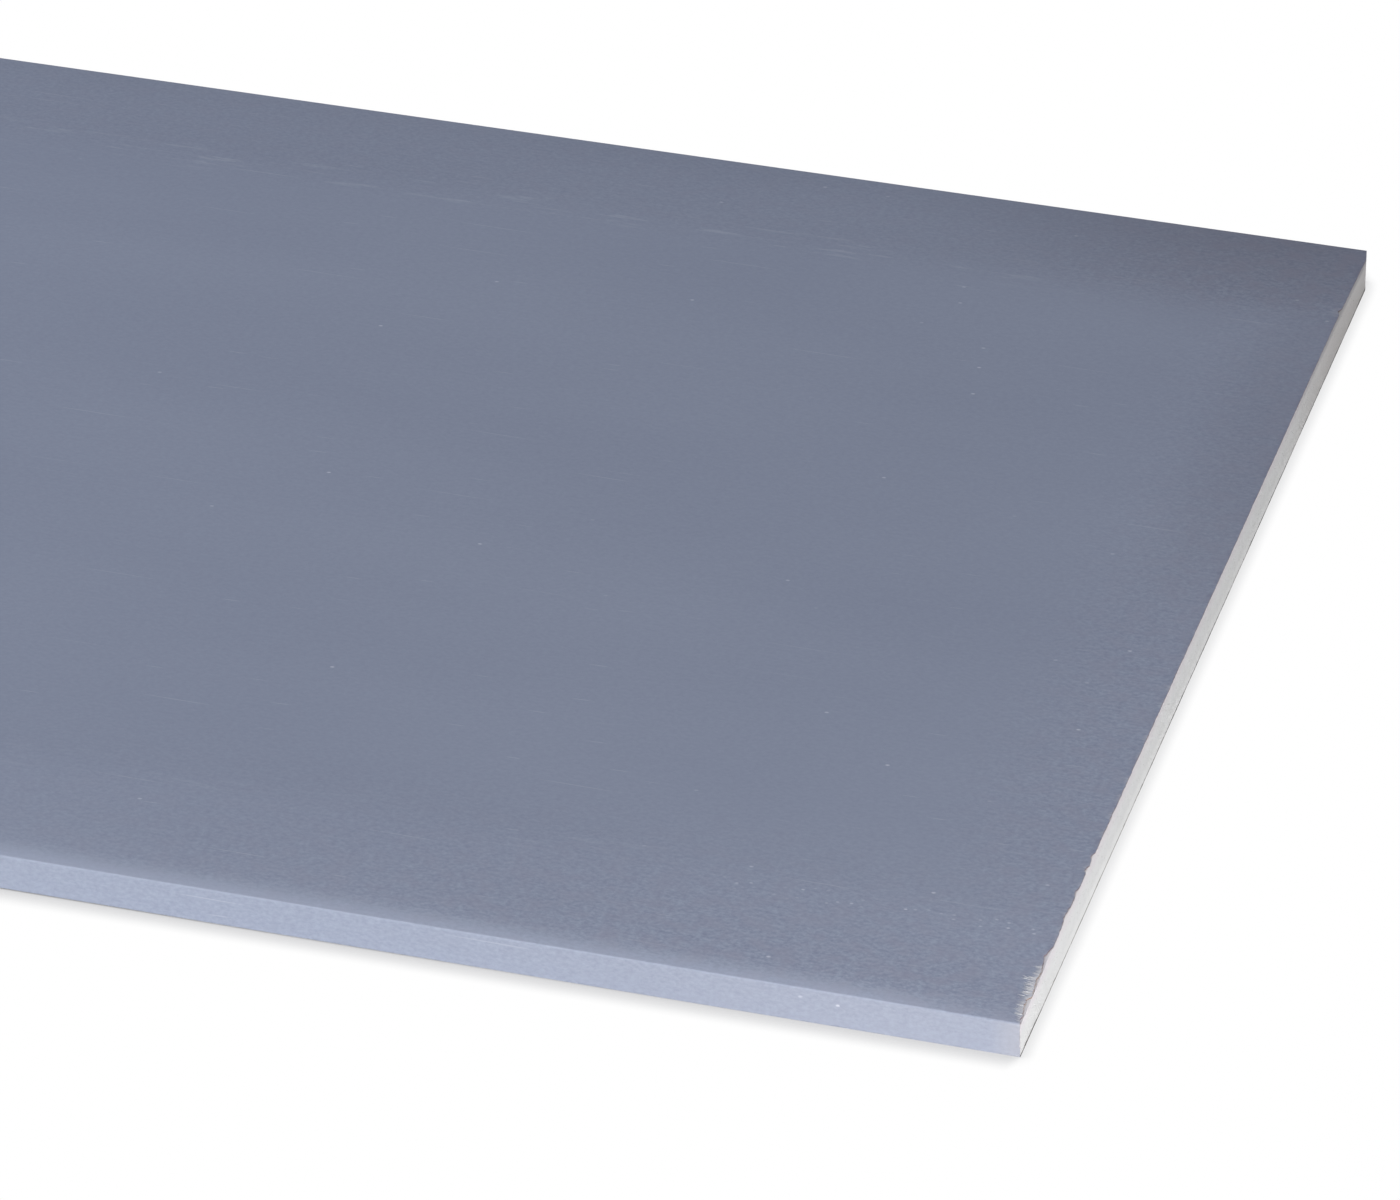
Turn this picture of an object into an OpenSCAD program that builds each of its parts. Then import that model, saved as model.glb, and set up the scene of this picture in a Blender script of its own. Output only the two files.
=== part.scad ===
// Drywall sheet: a cast gypsum core between two sheets of paper.
// The face paper runs over the face, down both tapered long edges and folds
// onto the back, where the back paper laps over the two folds.
// The ends are cut square, so the core shows there.
// Frame: X along the sheet, Y across it, Z up. The sheet lies on its back,
// with the origin at the middle of the back. Sizes are in millimetres.

/* [Sheet] */
// Length of the sheet between its two cut ends
sheet_length = 2600; // [1200:10:3600]
// Width of the sheet between its two long edges
sheet_width = 600; // [400:5:1250]
// Thickness of the sheet away from its tapered edges
sheet_thickness = 18; // [9.5:0.5:25]

/* [Tapered edges] */
// Width of the band along each long edge in which the face falls away
taper_width = 65; // [40:1:80]
// How far the face has fallen where it reaches the long edge
taper_depth = 3; // [0.6:0.1:4]
// Radius that rounds the face over into its tapered band
ridge_radius = 500; // [100:10:800]
// Radius of the arris between the tapered band and the long edge
face_arris_radius = 1.0; // [0.7:0.1:3]
// Radius of the arris between the long edge and the back
back_arris_radius = 0.8; // [0.7:0.1:3]

/* [Paper] */
// Thickness of the face paper
face_paper_thickness = 0.4; // [0.2:0.05:0.6]
// Thickness of the back paper
back_paper_thickness = 0.4; // [0.2:0.05:0.6]
// Width of face paper that is folded onto the back along each long edge
flap_width = 25; // [15:1:40]
// Width over which the back paper covers each folded flap
flap_overlap = 17; // [5:1:30]
// Width in which each flap steps down beside the back paper, to lie flush with it
flap_step = 2; // [1:0.5:6]

/* [Hidden] */

face_colour = "#7b8298";
core_colour = "#dcdbd8";
back_colour = "#8d8880";

// Straight steps in each rounded arris and in the long soft ridge.
arris_steps = 6;
ridge_steps = 8;

half_width = sheet_width / 2;
taper_angle = atan(taper_depth / taper_width);

// Heights: where the back paper covers a flap, the flap lies on top of it.
flap_level = back_paper_thickness;
edge_top = sheet_thickness - taper_depth;

// Distances from the middle line: the end of each flap, and the back paper's edge.
flap_end = half_width - flap_width;
back_paper_edge = flap_end + flap_overlap;
ridge = half_width - taper_width;

// Points along a circular arc from one angle to another.
function arc(centre, radius, from, to, steps) = [
    for (i = [0 : steps])
        let (a = from + (to - from) * i / steps)
            centre + radius * [cos(a), sin(a)]
];

// Centre of the arc that touches both the long edge and the tapered band.
function face_arris_centre() = [
    half_width - face_arris_radius,
    edge_top + face_arris_radius * (tan(taper_angle) - 1 / cos(taper_angle))
];

// Centre of the arc that rounds the flat face into the tapered band.
function ridge_centre() = [
    ridge - ridge_radius * tan(taper_angle / 2),
    sheet_thickness - ridge_radius
];

// One side of the section, from the back over the long edge to the face,
// at a given depth below the outer surface of the face paper.
function side(depth) = concat(
    arc([half_width - back_arris_radius, back_arris_radius],
        back_arris_radius - depth, -90, 0, arris_steps),
    arc(face_arris_centre(), face_arris_radius - depth, 0, 90 - taper_angle, arris_steps),
    arc(ridge_centre(), ridge_radius - depth, 90 - taper_angle, 90, ridge_steps)
);

// The same points on the other side of the middle line, in reverse order.
function mirrored(points) = [
    for (i = [len(points) - 1 : -1 : 0]) [-points[i][0], points[i][1]]
];

function reversed(points) = [for (i = [len(points) - 1 : -1 : 0]) points[i]];

// The line of one flap on the back at a given depth, from its end towards the long edge.
function flap(depth) = [
    [flap_end, flap_level + depth],
    [back_paper_edge, flap_level + depth],
    [back_paper_edge + flap_step, depth]
];

// The line of the face paper at a given depth, from one flap's end to the other's.
function wrap(depth) =
    let (half = concat(flap(depth), side(depth)))
        concat(half, mirrored(half));

// Runs a section, drawn as across and up, along the whole length of the sheet.
module along_sheet(section) {
    rotate([90, 0, 90])
        linear_extrude(height = sheet_length, center = true)
            polygon(section);
}

// The core fills the wrap, and reaches the back paper between the two flaps.
module gypsum_core() {
    color(core_colour)
        along_sheet(concat(
            wrap(face_paper_thickness),
            [[-flap_end, flap_level], [flap_end, flap_level]]
        ));
}

// One sheet of paper, seen from its cut end as a thin band around the core.
module face_paper() {
    color(face_colour)
        along_sheet(concat(wrap(0), reversed(wrap(face_paper_thickness))));
}

// A flat sheet of paper that laps over both flaps and closes the back.
module back_paper() {
    color(back_colour)
        along_sheet([
            [-back_paper_edge, 0],
            [back_paper_edge, 0],
            [back_paper_edge, back_paper_thickness],
            [-back_paper_edge, back_paper_thickness]
        ]);
}

gypsum_core();
face_paper();
back_paper();
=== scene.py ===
# %% [markdown]
# # Dressing a drywall sheet
# A drywall sheet is a slab of gypsum cast between two sheets of paper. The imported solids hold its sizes, and
# this lesson adds what a camera sees: blue-grey paper with fine wear, torn where the sheet was cut, and the
# bare rough gypsum of the cut ends. Each step says what a piece is on the real sheet, how it could be made,
# and why one way was chosen.

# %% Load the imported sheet
import math
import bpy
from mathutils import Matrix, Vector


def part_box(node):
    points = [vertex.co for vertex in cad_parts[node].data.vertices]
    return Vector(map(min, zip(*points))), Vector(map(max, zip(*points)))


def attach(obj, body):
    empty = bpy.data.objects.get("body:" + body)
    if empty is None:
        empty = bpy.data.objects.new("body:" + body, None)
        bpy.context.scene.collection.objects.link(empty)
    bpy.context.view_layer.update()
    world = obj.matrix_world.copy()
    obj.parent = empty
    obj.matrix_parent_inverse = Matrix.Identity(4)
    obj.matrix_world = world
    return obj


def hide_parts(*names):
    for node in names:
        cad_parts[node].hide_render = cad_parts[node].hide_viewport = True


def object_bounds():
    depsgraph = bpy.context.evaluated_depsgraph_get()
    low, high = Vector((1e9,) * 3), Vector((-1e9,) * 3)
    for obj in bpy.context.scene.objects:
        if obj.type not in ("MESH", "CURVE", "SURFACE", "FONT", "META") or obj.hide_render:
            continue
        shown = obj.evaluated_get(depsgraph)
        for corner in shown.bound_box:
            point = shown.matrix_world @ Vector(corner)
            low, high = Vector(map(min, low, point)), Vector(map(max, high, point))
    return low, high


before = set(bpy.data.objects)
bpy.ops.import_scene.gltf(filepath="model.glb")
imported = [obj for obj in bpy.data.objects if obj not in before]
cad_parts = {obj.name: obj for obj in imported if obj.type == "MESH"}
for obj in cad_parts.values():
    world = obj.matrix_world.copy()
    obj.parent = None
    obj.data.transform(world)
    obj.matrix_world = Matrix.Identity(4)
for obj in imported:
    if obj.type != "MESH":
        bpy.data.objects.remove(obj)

from types import SimpleNamespace

import bpy
from mathutils import Vector, noise
from mathutils.geometry import delaunay_2d_cdt

cad_low, cad_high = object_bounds()
print("sheet in metres:", [round(size, 4) for size in cad_high - cad_low])

# %% [markdown]
# ## Measures
# A size that the solids hold is read from their boxes, so the looks follow the solids. A box can't show the
# taper or the rounded arrises, so those few sizes are named again here, as they are on the real sheet.

# %% Measures of the sheet
MM = 0.001

half_length = cad_high.x
half_width = cad_high.y
thickness = cad_high.z
core_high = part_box("gypsum_core")[1]
paper_thickness = thickness - core_high.z
flap_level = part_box("back_paper")[1].z
back_paper_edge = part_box("back_paper")[1].y

taper_width = 65 * MM
taper_depth = 3 * MM
ridge_radius = 500 * MM
face_arris_radius = 1.0 * MM
back_arris_radius = 0.8 * MM
flap_width = 25 * MM
flap_step = 2 * MM

ridge = half_width - taper_width
flap_end = half_width - flap_width
print("paper thickness in mm:", round(paper_thickness / MM, 2))

# %% [markdown]
# ## The section
# Seen from its cut end, the face paper is one thin line: from a flap on the back, round a long edge, over the
# face and back to the other flap. That line could be drawn by hand as a curve. Here it is worked out from
# arcs that touch their neighbours, because then it fits the solids exactly and every fold has a known place.

# %% Section of the folded face paper
# Points that draw a flap, and steps in the arc of an arris and of a ridge.
FLAP_POINTS = 3
ARRIS_STEPS = 8
RIDGE_STEPS = 12


def arc(centre, radius, start, stop, steps):
    """Points along a circular arc, across and up, between two angles in radians."""
    angles = [start + (stop - start) * i / steps for i in range(steps + 1)]
    return [(centre[0] + radius * math.cos(a), centre[1] + radius * math.sin(a)) for a in angles]


def folded_section(depth):
    """The line of the face paper from flap to flap, at a depth below its outer side."""
    slope = math.atan2(taper_depth, taper_width)
    upright = math.pi / 2
    arris_drop = face_arris_radius * (1 / math.cos(slope) - math.tan(slope))
    back_centre = (half_width - back_arris_radius, back_arris_radius)
    face_centre = (half_width - face_arris_radius, thickness - taper_depth - arris_drop)
    ridge_centre = (ridge - ridge_radius * math.tan(slope / 2), thickness - ridge_radius)
    half = [(flap_end, flap_level + depth), (back_paper_edge, flap_level + depth)]
    half.append((back_paper_edge + flap_step, depth))
    half += arc(back_centre, back_arris_radius - depth, -upright, 0, ARRIS_STEPS)
    half += arc(face_centre, face_arris_radius - depth, 0, upright - slope, ARRIS_STEPS)
    half += arc(ridge_centre, ridge_radius - depth, upright - slope, upright, RIDGE_STEPS)
    return [(-y, z) for y, z in half] + half[::-1]


def running_lengths(points):
    """How far along a line each of its points lies."""
    lengths = [0.0]
    for (y0, z0), (y1, z1) in zip(points, points[1:]):
        lengths.append(lengths[-1] + math.hypot(y1 - y0, z1 - z0))
    return lengths


outer_section = folded_section(0)
outer_lengths = running_lengths(outer_section)
paper_width = outer_lengths[-1]
print("unfolded width of the face paper in mm:", round(paper_width / MM, 1))

# %% [markdown]
# ## The camera
# The view shows one end of the sheet from above its near corner, through a long lens, so that the long edges
# run almost parallel. A camera can be placed by hand and turned until it looks right. Here it is placed by
# the point that it looks at, two angles and a distance, because those can be checked against a picture.

# %% Camera
aim = Vector((half_length - 198.2 * MM, -41.1 * MM, 9.2 * MM))
camera_azimuth = math.radians(16.248)
camera_elevation = math.radians(31.948)
camera_distance = 3.3218
camera_lens = 214.29
sensor_width = 36


def add_object(name, data):
    """A new object in the scene for a camera, a lamp, a mesh or a curve."""
    made = bpy.data.objects.new(name, data)
    bpy.context.scene.collection.objects.link(made)
    return made


def direction(azimuth, elevation):
    """Unit vector towards a place seen at these angles from the sheet: azimuth 0 lies on the near side."""
    level = math.cos(elevation)
    return Vector((math.sin(azimuth) * level, -math.cos(azimuth) * level, math.sin(elevation)))


towards_camera = direction(camera_azimuth, camera_elevation)
camera_data = bpy.data.cameras.new("camera")
camera_data.lens = camera_lens
camera_data.sensor_width = sensor_width
camera = add_object("camera", camera_data)
camera.location = aim + camera_distance * towards_camera
camera.rotation_euler = towards_camera.to_track_quat("Z", "Y").to_euler()
bpy.context.scene.camera = camera
print("camera at", [round(x, 3) for x in camera.location])

# %% [markdown]
# ## Nodes in short
# Materials, the world and Geometry Nodes are all trees of nodes. Two short helpers keep the lesson readable:
# one fills a node's inputs, each with a value or a wire, and the other adds a node, sets it and fills it. The
# rest give common steps a plain name.

# %% Helpers for node trees
def wire(tree, node, inputs):
    """Fills a node's inputs. Each is a plain value, or the output socket that feeds it."""
    for name, value in inputs.items():
        if isinstance(value, bpy.types.NodeSocket):
            tree.links.new(value, node.inputs[name])
        else:
            node.inputs[name].default_value = value


def add(tree, kind, inputs=None, **settings):
    """Adds a node, sets it and fills its inputs."""
    made = tree.nodes.new(kind)
    for name, value in settings.items():
        setattr(made, name, value)
    wire(tree, made, inputs or {})
    return made


def maths(tree, operation, first, second=0.0):
    """The result of one sum on two numbers or sockets."""
    return add(tree, "ShaderNodeMath", {0: first, 1: second}, operation=operation).outputs[0]


def times(tree, product, *factors):
    """The product of several numbers or sockets."""
    for factor in factors:
        product = maths(tree, "MULTIPLY", product, factor)
    return product


def fade(tree, value, low, high, least=0.0, most=1.0):
    """A soft step: least at low, most at high."""
    inputs = {0: value, 1: low, 2: high, 3: least, 4: most}
    return add(tree, "ShaderNodeMapRange", inputs, interpolation_type="SMOOTHSTEP").outputs[0]


def ramp(tree, value, low, high, least, most):
    """A straight slope: least at low, most at high."""
    return add(tree, "ShaderNodeMapRange", {0: value, 1: low, 2: high, 3: least, 4: most}).outputs[0]


def blend(tree, share, first, second):
    """A colour between two others."""
    mix = add(tree, "ShaderNodeMix", {0: share, 6: first, 7: second}, data_type="RGBA")
    return mix.outputs[2]


def parts_of(tree, place):
    """The three coordinates of a place."""
    return add(tree, "ShaderNodeSeparateXYZ", {0: place}).outputs


def stretch(tree, place, scale):
    """Coordinates scaled apart along each axis, so that a pattern can be longer than it is wide."""
    return add(tree, "ShaderNodeMapping", {"Vector": place, "Scale": scale}).outputs[0]


def cloud(tree, place, scale=1.0, detail=2.0, roughness=0.5, dimensions="3D"):
    """Soft random values round 0.5."""
    inputs = {"Vector": place, "Scale": scale, "Detail": detail, "Roughness": roughness}
    return add(tree, "ShaderNodeTexNoise", inputs, noise_dimensions=dimensions).outputs[0]


def rgb(red, green, blue):
    """A colour as a screen shows it, from 0 to 255, turned into the linear values that shaders use."""
    shares = [c / 255 for c in (red, green, blue)]
    linear = [c / 12.92 if c <= 0.04045 else ((c + 0.055) / 1.055) ** 2.4 for c in shares]
    return (*linear, 1.0)


# %% [markdown]
# ## Light and floor
# The sheet lies on a white floor in a photographer's light. A low, broad lamp in front makes the long edge
# brighter than the face, and a high one lights the face. A broad one beside the cut end lights that, and a
# small one by the near corner adds to it, fading towards the far side. Two weak lamps keep the other end and
# the far edge from going black when the sheet is turned round. A white floor could be lit until it clips, but
# that would bleach the sheet too. Instead the floor shows the camera plain white and darkens only where the
# sheet is close to it, and for every other ray it stays a pale matt surface that throws light back.

# %% World
sky_level = 0.045
plain_white = (1, 1, 1, 1)


def seen_directly(tree):
    """1 for a ray from the camera, whether straight or by way of a shiny or clear surface."""
    path = add(tree, "ShaderNodeLightPath").outputs
    shown = maths(tree, "ADD", path["Is Camera Ray"], path["Is Glossy Ray"])
    return maths(tree, "MINIMUM", maths(tree, "ADD", shown, path["Is Transmission Ray"]), 1.0)


world = bpy.data.worlds.new("studio")
world.use_nodes = True
tree = world.node_tree
sky_strength = ramp(tree, seen_directly(tree), 0.0, 1.0, sky_level, 1.0)
wire(tree, tree.nodes["Background"], {"Color": plain_white, "Strength": sky_strength})
bpy.context.scene.world = world
print("light from the world:", sky_level)

# %% Floor
floor_size = 60.0
floor_drop = 0.02 * MM
floor_bounce = rgb(244, 244, 244)
# How far the sheet's shadow reaches in front of it and beside its end, and how dark it gets there.
front_shadow = 10.5 * MM
end_shadow = 6.0 * MM
front_shade = rgb(214, 214, 216)
end_shade = rgb(230, 230, 231)
# The thin dark line of painted shade right under the long edge, which grows over this length from the end.
touch_reach = 1.2 * MM
touch_line = rgb(128, 128, 130)
touch_growth = 0.5


def new_material(name):
    """A new material and its tree of nodes."""
    material = bpy.data.materials.new(name)
    material.use_nodes = True
    return material, material.node_tree


def new_object(name, points, faces, *materials):
    """A new object with a mesh of its own."""
    mesh = bpy.data.meshes.new(name)
    mesh.from_pydata(points, [], faces)
    for material in materials:
        mesh.materials.append(material)
    return add_object(name, mesh)


floor_finish, tree = new_material("floor_white")
tree.nodes.remove(tree.nodes["Principled BSDF"])
along = parts_of(tree, add(tree, "ShaderNodeTexCoord").outputs["Object"])[0]
beside_end = fade(tree, along, half_length - 4 * MM, half_length + 1 * MM)
reach = ramp(tree, beside_end, 0.0, 1.0, front_shadow, end_shadow)
openness = add(tree, "ShaderNodeAmbientOcclusion", {"Distance": reach}, samples=5).outputs["AO"]
close_shade = blend(tree, beside_end, front_shade, end_shade)
shade = blend(tree, fade(tree, openness, 0.6, 0.98), close_shade, plain_white)
closeness = add(tree, "ShaderNodeAmbientOcclusion", {"Distance": touch_reach}, samples=3).outputs["AO"]
in_front = fade(tree, along, half_length, half_length - touch_growth)
touching = times(tree, fade(tree, closeness, 0.7, 0.3), in_front)
shade = blend(tree, touching, shade, touch_line)
seen = add(tree, "ShaderNodeEmission", {"Color": shade, "Strength": 1.0}).outputs[0]
lit = add(tree, "ShaderNodeBsdfDiffuse", {"Color": floor_bounce}).outputs[0]
either = add(tree, "ShaderNodeMixShader", {0: seen_directly(tree), 1: lit, 2: seen}).outputs[0]
wire(tree, tree.nodes["Material Output"], {"Surface": either})

edge = floor_size / 2
corners = [(x, y, -floor_drop) for x, y in ((-edge, -edge), (edge, -edge), (edge, edge), (-edge, edge))]
floor = new_object("floor", corners, [(0, 1, 2, 3)], floor_finish)
print("floor in metres:", floor_size)

# %% Lamps
def soft_lamp(name, place, looks_at, size, watts, colour=(1, 1, 1)):
    """A square lamp that faces a point."""
    data = bpy.data.lights.new(name, "AREA")
    data.size = size
    data.energy = watts
    data.color = colour
    lamp = add_object(name, data)
    lamp.location = place
    lamp.rotation_euler = (Vector(place) - Vector(looks_at)).to_track_quat("Z", "Y").to_euler()
    lamp.visible_camera = False


soft_lamp("front_lamp", (-0.5, -4.5, 0.7), (0.4, 0, 0), size=1.2, watts=168, colour=(1.0, 1.0, 0.955))
soft_lamp("high_lamp", (-1.3, -0.55, 2.95), (-0.35, 0, 0), size=1.5, watts=69, colour=(0.93, 0.98, 1.07))
soft_lamp("corner_lamp", (half_length + 0.5, -0.6, 0.2), (1.1, 0, 0), size=0.5, watts=2.6)
soft_lamp("side_lamp", (half_length + 2.2, -0.5, 0.8), (half_length, 0, 0), size=1.6, watts=14.3)
soft_lamp("left_lamp", (-half_length - 2.2, -0.5, 0.6), (-half_length, 0, 0), size=1.6, watts=16)
soft_lamp("back_lamp", (-0.5, 4.5, 0.35), (0.2, 0, 0), size=1.2, watts=24)
print("lamps:", [light.name for light in bpy.data.lights])

# %% [markdown]
# ## The face paper's finish
# The paper is matt and blue-grey, with fibres that lie along the sheet. Handling leaves faint lengthwise
# scratches, pale flecks and scuffs on the two ridges where the taper starts. Two opposite corners and a band
# along the tear are painted darker, and painted light makes the face paler before the near arris. The saw
# leaves dust and frayed paper. A photograph could be wrapped round it, but would blur up close. Here every
# mark is a pattern of its own, laid out on the flat paper before folding, so that it runs on round the long
# edges as on the real sheet.

# %% Face paper: felt and clouds
paper_dark = rgb(138, 145, 166)
paper_light = rgb(162, 169, 188)
paper_warm = rgb(154, 155, 173)
# The colour of painted light on the last stretch of the face before the near arris.
arris_light_colour = rgb(192, 199, 219)
worn_light = rgb(200, 203, 215)
# The colour that makes two opposite corners of the paper darker.
corner_darkening = rgb(112, 111, 124)
# The colour of a darker band along the torn end of the face.
tear_band_dark = rgb(104, 90, 106)
torn_pale = rgb(226, 224, 228)
gypsum_dust = rgb(198, 191, 189)

arris_index = FLAP_POINTS + (ARRIS_STEPS + 1) + ARRIS_STEPS // 2
arris_across = paper_width / 2 - outer_lengths[arris_index]
ridge_across = arris_across - (half_width - ridge)


def flat_paper(tree):
    """Where a point lies on the flat paper: its place, its distances across, from the middle line, from the
    nearer cut end and towards the two corners painted darker, and a mask of 1 on the face and its tapers."""
    place = add(tree, "ShaderNodeAttribute", attribute_name="flat_place").outputs["Vector"]
    along, across, unused = parts_of(tree, place)
    from_middle = maths(tree, "ABSOLUTE", across)
    return SimpleNamespace(
        place=place,
        across=across,
        from_middle=from_middle,
        from_end=maths(tree, "SUBTRACT", half_length, maths(tree, "ABSOLUTE", along)),
        toward_dark_corners=times(tree, maths(tree, "SIGN", along), across),
        on_face=fade(tree, from_middle, arris_across + 0.5 * MM, arris_across - 0.5 * MM),
    )


def roughened(tree, flat):
    """How much the paper's fibres stand up: more by the cut ends, most on the tapers towards them, and evenly
    on the long edges."""
    at_end = times(tree, fade(tree, flat.from_end, 75 * MM, 8 * MM),
                   fade(tree, flat.across, -150 * MM, 230 * MM, 0.95, 0.6))
    near_taper = times(tree, fade(tree, flat.across, -180 * MM, -310 * MM),
                       fade(tree, flat.from_end, 450 * MM, 60 * MM, 0.4, 1.4))
    far_taper = times(tree, fade(tree, flat.across, 215 * MM, 250 * MM),
                      fade(tree, flat.from_end, 160 * MM, 0.0, 0.35, 1.65))
    most = maths(tree, "MAXIMUM", at_end, maths(tree, "MAXIMUM", near_taper, far_taper))
    return fade(tree, flat.on_face, 0.0, 1.0, 0.77, maths(tree, "ADD", most, 0.33))


def swing(tree, value, amount):
    """A random value's swing round 0.5, times an amount."""
    return times(tree, maths(tree, "SUBTRACT", value, 0.5), amount)


def flat_cloud(tree, flat, along, across, detail=2.0, roughness=0.5):
    """Soft random values on the flat paper, with so many patches to the metre along and across it."""
    place = stretch(tree, flat.place, (along, across, 1))
    return cloud(tree, place, detail=detail, roughness=roughness, dimensions="2D")


def fine_fibres(tree, flat):
    """Fine matted fibres, somewhat longer along the sheet than across it."""
    return flat_cloud(tree, flat, 420, 680, detail=3, roughness=0.7)


def felt(tree, flat, fine, standing):
    """The paper's shade, round 0.5: fine matted fibres, as far as they stand up, over slow clouds."""
    soft = flat_cloud(tree, flat, 150, 240)
    slow = flat_cloud(tree, flat, 4, 11)
    fibres = maths(tree, "ADD", swing(tree, fine, 1.6), swing(tree, soft, 0.4))
    shade = maths(tree, "ADD", times(tree, fibres, standing), swing(tree, slow, 0.35))
    return maths(tree, "ADD", shade, 0.5)


# %% Face paper: scratches and flecks
def marks(tree, flat, turn, cell, share, reach):
    """Sparse soft dashes, one in each of a share of a pattern's cells, turned by some degrees. A cell's two
    sizes are in metres, and a dash reaches over a part of its cell."""
    inputs = {"Vector": flat.place, "Rotation": (0, 0, math.radians(turn)), "Scale": (*cell, 1)}
    place = add(tree, "ShaderNodeMapping", inputs, vector_type="TEXTURE").outputs[0]
    pattern = add(tree, "ShaderNodeTexVoronoi", {"Vector": place, "Scale": 1.0}, voronoi_dimensions="2D")
    dash = fade(tree, pattern.outputs["Distance"], reach, reach * 0.3)
    chance = add(tree, "ShaderNodeSeparateColor", {0: pattern.outputs["Color"]}).outputs[0]
    chosen = fade(tree, chance, maths(tree, "SUBTRACT", 1.0, share), 1.0)
    return times(tree, dash, chosen)


def near_line(tree, flat, line, reach):
    """1 on two lines along the sheet, one on each side of its middle, fading out within a reach."""
    off_line = maths(tree, "ABSOLUTE", maths(tree, "SUBTRACT", flat.from_middle, line))
    return fade(tree, off_line, reach, 0.0)


def knocked(tree, flat):
    """1 in a narrow strip below the ridge by each of two opposite corners, where the sheet was struck."""
    near_end = fade(tree, flat.from_end, 150 * MM, 100 * MM)
    strip = near_line(tree, flat, ridge_across + 8 * MM, 7 * MM)
    return times(tree, strip, near_end, maths(tree, "LESS_THAN", flat.toward_dark_corners, 0.0))


def handling_marks(tree, flat):
    """Long scratches, short ones, and small flecks that crowd on a struck ridge, as one mask."""
    long_ones = marks(tree, flat, turn=-0.6, cell=(55 * MM, 0.75 * MM), share=0.01, reach=0.4)
    short_ones = marks(tree, flat, turn=1.5, cell=(14 * MM, 0.75 * MM), share=0.006, reach=0.4)
    crowd = fade(tree, flat.from_end, 330 * MM, 60 * MM, 0.01, 0.035)
    flecks = marks(tree, flat, turn=8, cell=(14 * MM, 8 * MM), share=crowd, reach=0.085)
    struck = marks(tree, flat, turn=5, cell=(5 * MM, 3 * MM), share=0.6, reach=0.19)
    struck = times(tree, struck, knocked(tree, flat))
    scratches = maths(tree, "ADD", times(tree, long_ones, 0.28), times(tree, short_ones, 0.3))
    spots = maths(tree, "MAXIMUM", flecks, struck)
    return maths(tree, "ADD", scratches, times(tree, spots, 0.95))


# %% Face paper: scuffed ridges, painted light by the arris, dust and darker corners
def scuffed(tree, flat):
    """Broken pale streaks along the ridges, fainter on the near one and towards the cut ends."""
    streaks = fade(tree, flat_cloud(tree, flat, 28, 230, detail=3, roughness=0.65), 0.55, 0.75)
    on_ridge = near_line(tree, flat, ridge_across, 16 * MM)
    by_side = fade(tree, flat.across, -10 * MM, 10 * MM, 0.4, 1.0)
    by_end = fade(tree, flat.from_end, 40 * MM, 200 * MM, 0.25, 1.0)
    return times(tree, on_ridge, streaks, by_side, by_end)


def painted_arris_light(tree, flat):
    """The last stretch of the face before the near arris, paler with painted light where the taper tilts
    towards the lamps, and less by the ends.
    """
    near_arris = fade(tree, flat.across, 15 * MM - arris_across, -arris_across)
    by_end = fade(tree, flat.from_end, 10 * MM, 60 * MM, 0.4, 1.0)
    return times(tree, maths(tree, "POWER", near_arris, 1.4), flat.on_face, by_end)


def dusted(tree, flat):
    """Gypsum dust from the saw on the long edges, thin at first and thick beside the cut ends."""
    past_face = maths(tree, "SUBTRACT", 1.0, flat.on_face)
    thin = fade(tree, flat.from_end, 300 * MM, 20 * MM, 0.0, 0.35)
    dust = maths(tree, "MAXIMUM", thin, fade(tree, flat.from_end, 19 * MM, 0.0))
    return times(tree, past_face, dust)


def darker_corners(tree, flat):
    """1 at two opposite corners, which are painted darker, and less along the ends beside them."""
    corner = times(tree, fade(tree, flat.from_end, 230 * MM, 0.0),
                   fade(tree, flat.toward_dark_corners, 190 * MM, 300 * MM))
    along_end = times(tree, fade(tree, flat.from_end, 50 * MM, 5 * MM),
                      fade(tree, flat.toward_dark_corners, -50 * MM, 70 * MM, 0.0, 0.45))
    return maths(tree, "MAXIMUM", corner, along_end)


# %% Face paper: peeled fibres by the cut
def stored(tree, name):
    """A number that the mesh carries at each point."""
    return add(tree, "ShaderNodeAttribute", attribute_name=name).outputs["Fac"]


def darker_by_tear(tree, flat):
    """1 in a narrow uneven band along the torn end of the face, which is painted darker."""
    patches = fade(tree, flat_cloud(tree, flat, 70, 70, detail=3), 0.35, 0.65)
    band = fade(tree, stored(tree, "from_tear"), 2.6 * MM, 0.2 * MM)
    return times(tree, band, patches, flat.on_face)


def peeled(tree, flat):
    """1 where the top ply is torn off beside the cut: feathered tongues that run along the sheet."""
    tongues = flat_cloud(tree, flat, 90, 700, detail=3, roughness=0.65)
    uneven = maths(tree, "ADD", times(tree, tongues, 1.6), 0.1)
    torn_to = times(tree, stored(tree, "peel"), uneven)
    inside = maths(tree, "SUBTRACT", torn_to, stored(tree, "from_tear"))
    torn = fade(tree, inside, -0.4 * MM, 3.2 * MM)
    wisps = fade(tree, flat_cloud(tree, flat, 170, 2000), 0.35, 0.65)
    solid = maths(tree, "ADD", times(tree, wisps, 0.6), 0.4)
    return times(tree, torn, solid, stored(tree, "peel_strength"))


# %% Face paper: the whole finish
dull_gloss = 0.2
paper_relief = 0.05 * MM


def set_dull(tree, colour, rough, height, strength, distance):
    """Gives the shader of a dull surface its colour, its roughness and a fine relief."""
    relief = {"Height": height, "Strength": strength, "Distance": distance}
    normal = add(tree, "ShaderNodeBump", relief).outputs[0]
    inputs = {"Base Color": colour, "Specular IOR Level": dull_gloss, "Roughness": rough, "Normal": normal}
    wire(tree, tree.nodes["Principled BSDF"], inputs)


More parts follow.
